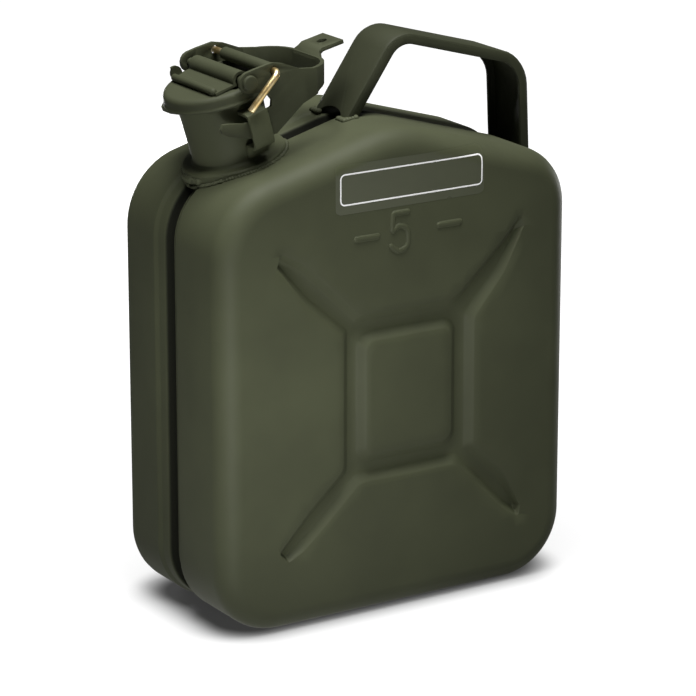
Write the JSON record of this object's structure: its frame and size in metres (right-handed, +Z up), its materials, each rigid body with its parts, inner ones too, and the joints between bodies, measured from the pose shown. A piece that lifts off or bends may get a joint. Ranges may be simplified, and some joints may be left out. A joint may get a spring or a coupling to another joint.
{
  "type": "jerrycan",
  "caption": "Pressed-steel five-litre jerrycan with a tilted pouring neck, a cam-lever cap held by a locking wire and a bent channel handle",
  "frame": {"origin": "middle of the footprint at the level of the base", "axes": "+X along the width from the neck side to the handle side, +Y from the front face to the rear face, +Z up"},
  "size_m": [0.226, 0.1106, 0.3158],
  "materials": {
    "front_shell": "satin olive powder coat",
    "rear_shell": "satin olive powder coat",
    "neck": "satin olive powder coat",
    "front_bracket": "satin olive powder coat",
    "rear_bracket": "satin olive powder coat",
    "handle": "satin olive powder coat",
    "cap": "satin olive powder coat",
    "hinge_strap": "satin olive powder coat",
    "lever": "satin olive powder coat",
    "spacer_tube": "satin olive powder coat",
    "hinge_pin": "satin olive powder coat",
    "breather_tube": "zinc-plated",
    "gasket_plate": "zinc-plated",
    "cap_gasket": "matt black",
    "locking_pin": "polished brass-plated wire"
  },
  "bodies": {
    "can": {"front_shell": "front_shell", "rear_shell": "rear_shell", "neck": "neck", "breather_tube": "breather_tube", "front_bracket": "front_bracket", "rear_bracket": "rear_bracket", "handle": "handle"},
    "cap": {"cap": "cap", "cap_gasket": "cap_gasket", "gasket_plate": "gasket_plate", "hinge_strap": "hinge_strap"},
    "lever": {"lever": "lever", "hinge_pin": "hinge_pin", "spacer_tube": "spacer_tube"},
    "locking_pin": {"locking_pin": "locking_pin"}
  },
  "joints": [
    {"name": "cap_swing", "type": "hinge", "parent": "can", "child": "cap", "pos_m": [-0.05396, 0, 0.26565], "axis": [0, 1, 0], "range_deg": [0, 65]},
    {"name": "lever_lift", "type": "hinge", "parent": "cap", "child": "lever", "pos_m": [-0.0808, 0, 0.30401], "axis": [0, 1, 0], "range_deg": [-150, 0]},
    {"name": "locking_pin_slide", "type": "slide", "parent": "lever", "child": "locking_pin", "axis": [0, -1, 0], "range_m": [0, 0.072]}
  ],
  "couplings": [
    {"joint": "lever_lift", "follows": "cap_swing", "ratio": -2.3}
  ]
}
